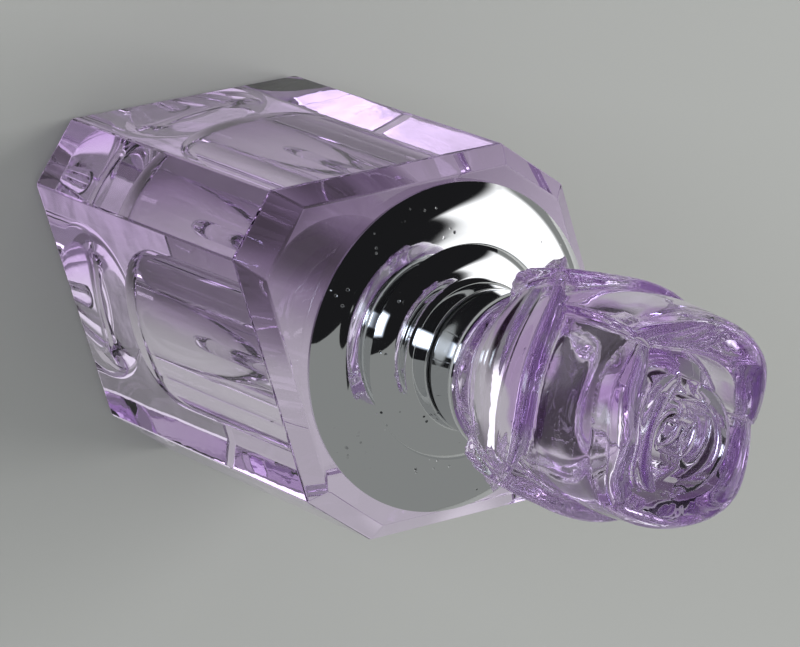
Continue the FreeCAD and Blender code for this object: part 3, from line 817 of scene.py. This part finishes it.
class BOTTLE_OT_rose(bpy.types.Operator):
    """Moulded glass rose: three rings of petals and a spiral bud, melted into one piece"""
    bl_idname = "bottle.rose"
    bl_label = "Glass rose"

    def execute(self, context):
        settings = context.scene.bottle_glass
        material = make_glass(
            "Rose glass", tuple(settings.tint), tuple(settings.rose_violet), (5.0, 0.01, 0.5, 0.62),
            tuple(settings.depth_colour), settings.rose_density,
            pale=((0.5, -0.3, ROSE_TOP - 1.5), 3.2, 5.2))
        tree = petal_tree(material)
        rise = ROSE_TOP - FERRULE_TOP
        lean = {"lean_x": -0.28, "lean_y": -0.53}
        middle = {"count": 1, "foot": 5.0, "side_rise": rise * 0.80,
                  "curl": -0.2, "wave": 0.25, "waves": 6.0}
        inner = {"count": 1, "span": 170.0, "foot": 3.0, "base": 6.0, "thickness": 1.1, "squeeze": 1.2}
        parts = [
            grown(tree, count=3, azimuth=-22.0, span=140.0, foot=5.2, reach=8.5, rise=rise * 0.546,
                  side_rise=rise * 0.235, thickness=1.5, curl=0.3, side_curl=0.6, wave=0.25, waves=4.0,
                  **lean),
            grown(tree, azimuth=-10.0, span=128.0, reach=7.6, rise=rise * 0.923, thickness=4.0, phase=1.0,
                  **middle, **lean),
            grown(tree, azimuth=-130.0, span=126.0, reach=8.3, rise=rise * 0.94, thickness=3.0, phase=2.6,
                  **middle, **lean),
            grown(tree, azimuth=110.0, span=132.0, reach=7.6, rise=rise * 0.923, thickness=2.8, phase=1.0,
                  **middle, **lean),
            grown(tree, azimuth=-18.0, reach=3.5, rise=rise * 0.956, side_rise=rise * 0.895, shift=0.9,
                  **inner),
            grown(tree, azimuth=162.0, reach=3.4, rise=rise * 0.965, side_rise=rise * 0.914, shift=-0.2,
                  **inner),
            grown(tree, count=1, azimuth=52.0, span=430.0, foot=1.6, reach=2.1, base=9.0,
                  rise=rise * 0.994, side_rise=rise * 0.95, thickness=0.75, drift=0.8, squeeze=0.55,
                  lean_x=0.5, lean_y=-0.3),
        ]
        parts.append(self.make_heart(rise))
        whole = joined("glass_rose", parts)
        whole.transform(Matrix.Translation((0, 0, FERRULE_TOP)))
        mesh = applied("glass_rose", whole, [
            ("REMESH", {"mode": "VOXEL", "voxel_size": 0.17, "use_smooth_shade": True}),
            ("SMOOTH", {"factor": 0.5, "iterations": 5})])
        rose = finish_mesh("glass_rose", mesh, material, 180)
        fit(rose, "stopper", "rose_finial")
        return {"FINISHED"}

    def make_heart(self, rise):
        """The solid middle of the rose and the spigot in the ferrule."""
        sunk = ROSE_FOOT - FERRULE_TOP
        return turned_mesh("heart", [
            (0, sunk), (5.3, sunk), (5.3, 0), (5.7, 0), *bow((5.7, 0), (6.0, rise * 0.5), -0.4)[1:],
            (6.0, rise * 0.5), (5.6, rise * 0.72), (4.2, rise * 0.79), (2.6, rise * 0.83),
            (0, rise * 0.84)], 96)


# ---------------------------------------------------------------- stage

def direction(azimuth, elevation):
    """Unit vector at these degrees from +X and above the floor."""
    around = math.radians(azimuth)
    above = math.radians(elevation)
    return Vector((
        math.cos(around) * math.cos(above), math.sin(around) * math.cos(above), math.sin(above)))


MIDDLE = Vector((0, 0, 0.03))


def lamp(name, azimuth, elevation, distance, wide, tall, power, colour):
    """Soft rectangular lamp that faces the bottle."""
    light = bpy.data.lights.new(name, "AREA")
    light.shape = "RECTANGLE"
    light.size = wide
    light.size_y = tall
    light.energy = power
    light.color = colour
    holder = bpy.data.objects.new(name, light)
    bpy.context.scene.collection.objects.link(holder)
    toward = direction(azimuth, elevation)
    holder.location = MIDDLE + toward * distance
    holder.rotation_euler = toward.to_track_quat("Z", "Y").to_euler()
    holder.visible_glossy = False
    holder.visible_transmission = False


def cloth(name, reach, patches, in_metal, in_glass, soft=0.0):
    """Curved cloth in part of the sky, seen only as a reflection or through the glass.

    Each patch is its first and last azimuth and its lowest and highest elevation, in degrees.
    The two colours are what it shows in a reflection and through glass. It thins out toward
    its edges over the soft share of its half width."""
    shape = bmesh.new()
    thickness = []
    for first, last, low, high in patches:
        rows = [[shape.verts.new(MIDDLE + direction(first + (last - first) * step / 24,
                                                    low + (high - low) * row / 12) * reach)
                 for step in range(25)] for row in range(13)]
        thickness += [min(step, 24 - step, row * 2, 24 - row * 2) / 12 / max(soft, 0.01)
                      for row in range(13) for step in range(25)]
        for lower, upper in zip(rows, rows[1:]):
            for step in range(24):
                shape.faces.new((lower[step], upper[step], upper[step + 1], lower[step + 1]))
    mesh = bpy.data.meshes.new(name)
    shape.to_mesh(mesh)
    shape.free()
    layer = mesh.attributes.new("thickness", "FLOAT", "POINT")
    layer.data.foreach_set("value", [min(value, 1.0) if soft else 1.0 for value in thickness])
    piece = bpy.data.objects.new(name, mesh)
    bpy.context.scene.collection.objects.link(piece)
    material = bpy.data.materials.new(name)
    material.use_nodes = True
    maker = Maker(material.node_tree)
    through = maker.get("ShaderNodeLightPath", "Is Transmission Ray")
    glow = maker.node("ShaderNodeEmission", None, {"Color": maker.colour(through, in_metal, in_glass)})
    dense = maker.get("ShaderNodeAttribute", "Fac", {"attribute_name": "thickness"})
    clear = maker.node("ShaderNodeBsdfTransparent")
    thinned = maker.node("ShaderNodeMixShader", None, {
        0: maker.ease(dense, 0.0, 1.0), 1: clear.outputs[0], 2: glow.outputs[0]})
    maker.node("ShaderNodeOutputMaterial", None, {"Surface": thinned.outputs[0]})
    mesh.materials.append(material)
    piece.visible_camera = False
    piece.visible_diffuse = False
    piece.visible_shadow = False


class BOTTLE_OT_stage(bpy.types.Operator):
    """Pale floor with painted light and shade where it is seen through glass, soft studio light and the
    camera
    """
    bl_idname = "bottle.stage"
    bl_label = "Stage"

    def execute(self, context):
        settings = context.scene.bottle_stage
        self.make_floor(settings)
        self.make_world(context)
        lamp("Window", -176, 34, 0.85, 0.62, 0.5, 4.5, (1.0, 0.99, 0.98))
        lamp("Second window", -24, 24, 0.85, 0.26, 0.56, 1.6, (0.92, 0.96, 1.0))
        cloth("Dark cloth", 1.1,
              ((-152, 2, -4, 89), (2, 110, 80, 89), (110, 150, 69, 89), (150, 208, 57, 89)),
              (0.012, 0.012, 0.013), (0.28, 0.27, 0.30))
        cloth("Window blind", 1.05, ((148, 216, 8, 60),), (1.7, 1.7, 1.7), (0.95, 0.94, 0.98), 0.3)
        cloth("Second window blind", 1.05, ((-38, -12, -4, 48),), (6.0, 6.6, 7.6), (2.4, 2.4, 2.6), 0.8)
        cloth("Curtain", 1.02, ((-56, -38, 30, 60),), (0.012, 0.012, 0.013), (2.6, 2.6, 2.7), 0.5)
        self.make_camera(context, settings)
        context.scene.view_settings.view_transform = "Standard"
        context.scene.cycles.max_bounces = 24
        context.scene.cycles.glossy_bounces = 14
        context.scene.cycles.transmission_bounces = 24
        return {"FINISHED"}

    def make_floor(self, settings):
        mesh = bpy.data.meshes.new("floor")
        half = 1.5
        below = -0.00005
        corners = [(-half, -half), (half, -half), (half, half), (-half, half)]
        mesh.from_pydata([(x, y, below) for x, y in corners], [], [(0, 1, 2, 3)])
        floor = bpy.data.objects.new("floor", mesh)
        bpy.context.scene.collection.objects.link(floor)
        finish = Finish("Floor paint")
        tone = tuple(settings.floor_colour)
        paint = finish.colour(finish.noise(40.0), tone, tuple(part * 0.97 for part in tone))
        finish.set(base_color=paint, roughness=0.6)
        # For rays that come through glass the floor is not lit by the lamps: it glows with painted light
        # and shade.
        through = finish.get("ShaderNodeLightPath", "Is Transmission Ray")
        glow = finish.node("ShaderNodeEmission", None, {"Color": self.painted_light_and_shade_behind_glass(finish)})
        mixed = finish.node("ShaderNodeMixShader", None, {
            0: through, 1: finish.shader.outputs["BSDF"], 2: glow.outputs[0]})
        finish.feed(finish.output.inputs["Surface"], mixed.outputs[0])
        mesh.materials.append(finish.material)

    def painted_light_and_shade_behind_glass(self, finish):
        """Painted light and shade on the floor where it is seen through glass: painted shade darker toward
        -Y, two painted dark patches of shade and one painted patch of light.

        It differs from what the camera sees of the floor, which stays plain."""
        # Painted shade: darker toward -Y. Then painted patches: a dark painted shade seen through the rose,
        # a painted shadow under the collar at (5, -9.5), and a painted patch of light at (-13, 10.5).
        tone = finish.colour(finish.ease(finish.along(), -16, 10), (0.15, 0.14, 0.155), (0.47, 0.47, 0.47))
        patches = (
            ((-44.0, 50.0, 0.0), 18, 38, (0.012, 0.007, 0.009)),
            ((5.0, -9.5, 0.0), 2, 8, (0.085, 0.085, 0.08)),
            ((-13.0, 10.5, 0.0), 1, 4, (0.7, 0.7, 0.7)),
        )
        for middle, near, far, painted_tone in patches:
            tone = finish.colour(finish.ease(finish.away_from(middle), near, far), painted_tone, tone)
        return tone

    def make_world(self, context):
        world = bpy.data.worlds.new("Studio")
        context.scene.world = world
        world.use_nodes = True
        maker = Maker(world.node_tree)
        path = maker.node("ShaderNodeLightPath").outputs
        glossy = Number(maker, path["Is Glossy Ray"])
        through = Number(maker, path["Is Transmission Ray"])
        strength = 0.5 - glossy * 0.22 - through * 0.02
        background = maker.node("ShaderNodeBackground", None, {
            "Color": (0.93, 0.96, 0.93, 1), "Strength": strength})
        maker.node("ShaderNodeOutputWorld", None, {"Surface": background.outputs[0]})

    def make_camera(self, context, settings):
        camera = bpy.data.objects.new("Camera", bpy.data.cameras.new("Camera"))
        context.scene.collection.objects.link(camera)
        around = math.radians(settings.azimuth)
        above = math.radians(settings.elevation)
        back = Vector((
            math.sin(around) * math.cos(above), -math.cos(around) * math.cos(above), math.sin(above)))
        aim = Vector((0.3, -0.5, 23.8)) * MM
        camera.location = aim + back * settings.distance
        level = (-back).to_track_quat("-Z", "Y").to_matrix()
        turn = level @ Matrix.Rotation(math.radians(settings.roll), 3, "Z")
        camera.rotation_euler = turn.to_euler()
        camera.data.lens = settings.lens
        camera.data.sensor_width = 36
        camera.data.clip_start = 0.01
        camera.data.clip_end = 20
        context.scene.camera = camera


class BOTTLE_PT_panel(bpy.types.Panel):
    bl_idname = "BOTTLE_PT_panel"
    bl_label = "Rose Perfume Bottle"
    bl_space_type = "VIEW_3D"
    bl_region_type = "UI"
    bl_category = "Bottle"

    def draw(self, context):
        for step in STEPS:
            self.layout.operator(step.bl_idname)


STEPS = (
    BOTTLE_OT_glass_block,
    BOTTLE_OT_collar,
    BOTTLE_OT_seal,
    BOTTLE_OT_stopper,
    BOTTLE_OT_rose,
    BOTTLE_OT_stage,
)
GROUPS = {"bottle_glass": BOTTLE_PG_glass, "bottle_metal": BOTTLE_PG_metal, "bottle_stage": BOTTLE_PG_stage}
CLASSES = (*GROUPS.values(), *STEPS, BOTTLE_PT_panel)


def register():
    for kind in CLASSES:
        bpy.utils.register_class(kind)
    for name, kind in GROUPS.items():
        setattr(bpy.types.Scene, name, PointerProperty(type=kind))


def unregister():
    for name in GROUPS:
        delattr(bpy.types.Scene, name)
    for kind in reversed(CLASSES):
        bpy.utils.unregister_class(kind)


def main():
    register()
    for step in STEPS:
        family, name = step.bl_idname.split(".")
        getattr(getattr(bpy.ops, family), name)()


if __name__ == "__main__":
    main()
